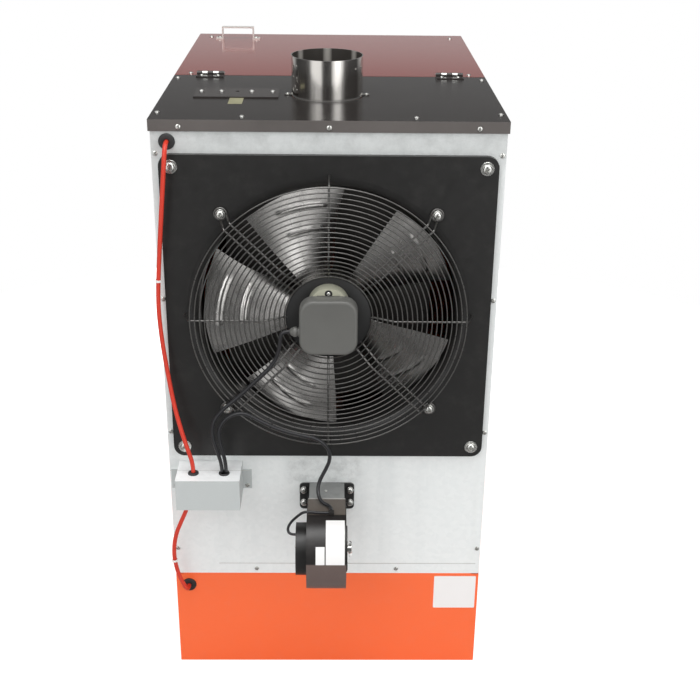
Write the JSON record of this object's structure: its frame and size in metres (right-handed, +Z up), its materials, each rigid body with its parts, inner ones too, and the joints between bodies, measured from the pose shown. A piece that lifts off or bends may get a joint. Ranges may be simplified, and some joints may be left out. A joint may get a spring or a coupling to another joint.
{
  "type": "oil-fired space heater",
  "caption": "Floor-standing oil-fired space heater with a guarded axial fan, combustion-air blower, flue spigot, hinged service lid and louvred warm-air outlet.",
  "frame": {"origin": "centre of the footprint on the floor", "axes": "+Z up; -Y towards the rear with the fan; +X to the right seen from behind"},
  "size_m": [0.606, 1.119, 1.192],
  "materials": {
    "painted_orange": "satin powder coat",
    "painted_red": "gloss powder coat",
    "painted_charcoal": "satin powder coat",
    "painted_black": "satin powder coat",
    "galvanised": "zinc spangle",
    "zinc": "zinc plated",
    "stainless": "polished",
    "black_wire": "gloss",
    "motor_cast": "cast",
    "dark_steel": "dark polished",
    "cover_plastic": "moulded",
    "black_plastic": "moulded",
    "heat_steel": "heat-tinted",
    "cast_iron": "cast",
    "tank_paint": "matte",
    "copper": "drawn",
    "black_rubber": "matte",
    "red_sheath": "cable sheath",
    "black_sheath": "cable sheath",
    "tie_nylon": "nylon",
    "switch_red": "moulded"
  },
  "bodies": {
    "casing": {"base_casing": "painted_orange", "base_front_panel": "painted_orange", "fuel_tank": "tank_paint", "tank_filler_neck": "painted_black", "chassis_deck": "galvanised", "side_panel_left": "painted_orange", "side_panel_right": "painted_orange", "rear_panel": "galvanised", "front_panel": "painted_orange", "front_lower_panel": "painted_orange", "outlet_frame": "painted_black", "top_cover": "painted_charcoal", "hinge_cover_leaves": "zinc", "hatch_plate": "painted_charcoal", "flue_spigot": "stainless", "heat_exchanger": "heat_steel", "combustion_chamber": "heat_steel", "burner_pot": "cast_iron", "burner_ring": "heat_steel", "burner_air_duct": "galvanised", "fan_plate": "painted_black", "fan_guard": "black_wire", "fan_motor_flange": "motor_cast", "fan_terminal_cover": "cover_plastic", "blower_flange": "painted_black", "blower_scroll": "painted_black", "blower_motor": "painted_black", "junction_box": "galvanised", "terminal_strip": "black_plastic", "cable_grommets": "black_rubber", "red_cable_upper": "red_sheath", "red_cable_lower": "red_sheath", "fan_cable": "black_sheath", "blower_cable": "black_sheath", "blower_lead": "black_sheath", "cable_ties": "tie_nylon", "control_box": "painted_charcoal", "limit_thermostat": "black_plastic", "fuel_pump": "motor_cast", "fuel_pipes": "copper", "casing_screws": "zinc", "mounting_bolts": "zinc"},
    "lid": {"lid": "painted_red", "lid_liner": "galvanised", "lid_handle": "zinc", "hinge_lid_leaves": "zinc", "lid_fasteners": "zinc"},
    "chamber_cover": {"chamber_cover": "heat_steel"},
    "fan_rotor": {"fan_rotor": "dark_steel", "fan_impeller": "dark_steel"},
    "blower_impeller": {"blower_impeller": "galvanised"},
    "blower_shutter": {"blower_shutter": "painted_black"},
    "filler_cap": {"filler_cap": "zinc"},
    "power_switch": {"power_switch": "switch_red"},
    "thermostat_knob": {"thermostat_knob": "black_plastic"},
    "reset_button": {"reset_button": "switch_red"},
    "louvre_vane_1": {"louvre_vane_1": "painted_black"},
    "louvre_vane_2": {"louvre_vane_2": "painted_black"},
    "louvre_vane_3": {"louvre_vane_3": "painted_black"},
    "louvre_vane_4": {"louvre_vane_4": "painted_black"}
  },
  "joints": [
    {"name": "lid_hinge", "type": "hinge", "parent": "casing", "child": "lid", "pos_m": [0, -0.054, 1.124], "axis": [1, 0, 0], "range_deg": [0, 100]},
    {"name": "chamber_cover_lift", "type": "slide", "parent": "casing", "child": "chamber_cover", "axis": [0, 0, 1], "range_m": [0, 0.06]},
    {"name": "fan_spin", "type": "hinge", "parent": "casing", "child": "fan_rotor", "pos_m": [0, -0.4, 0.774], "axis": [0, 1, 0], "continuous": true},
    {"name": "blower_spin", "type": "hinge", "parent": "casing", "child": "blower_impeller", "pos_m": [0, -0.542, 0.351], "axis": [1, 0, 0], "continuous": true},
    {"name": "air_shutter_turn", "type": "hinge", "parent": "casing", "child": "blower_shutter", "pos_m": [0, -0.542, 0.351], "axis": [1, 0, 0], "range_deg": [0, 45]},
    {"name": "filler_cap_flip", "type": "hinge", "parent": "casing", "child": "filler_cap", "pos_m": [0.17, 0.435, 0.2005], "axis": [1, 0, 0], "range_deg": [0, 90]},
    {"name": "power_switch_rock", "type": "hinge", "parent": "casing", "child": "power_switch", "pos_m": [0.088, 0.421, 0.48], "axis": [1, 0, 0], "range_deg": [0, 8]},
    {"name": "thermostat_turn", "type": "hinge", "parent": "casing", "child": "thermostat_knob", "pos_m": [0.15, 0.427, 0.48], "axis": [0, 1, 0], "range_deg": [0, 270]},
    {"name": "reset_press", "type": "slide", "parent": "casing", "child": "reset_button", "axis": [0, -1, 0], "range_m": [0, 0.0025], "stiffness_N_per_m": 300},
    {"name": "louvre_1_tilt", "type": "hinge", "parent": "casing", "child": "louvre_vane_1", "pos_m": [0, 0.403, 0.67325], "axis": [1, 0, 0], "range_deg": [-45, 45]},
    {"name": "louvre_2_tilt", "type": "hinge", "parent": "casing", "child": "louvre_vane_2", "pos_m": [0, 0.403, 0.77775], "axis": [1, 0, 0], "range_deg": [-45, 45]},
    {"name": "louvre_3_tilt", "type": "hinge", "parent": "casing", "child": "louvre_vane_3", "pos_m": [0, 0.403, 0.88225], "axis": [1, 0, 0], "range_deg": [-45, 45]},
    {"name": "louvre_4_tilt", "type": "hinge", "parent": "casing", "child": "louvre_vane_4", "pos_m": [0, 0.403, 0.98675], "axis": [1, 0, 0], "range_deg": [-45, 45]}
  ]
}
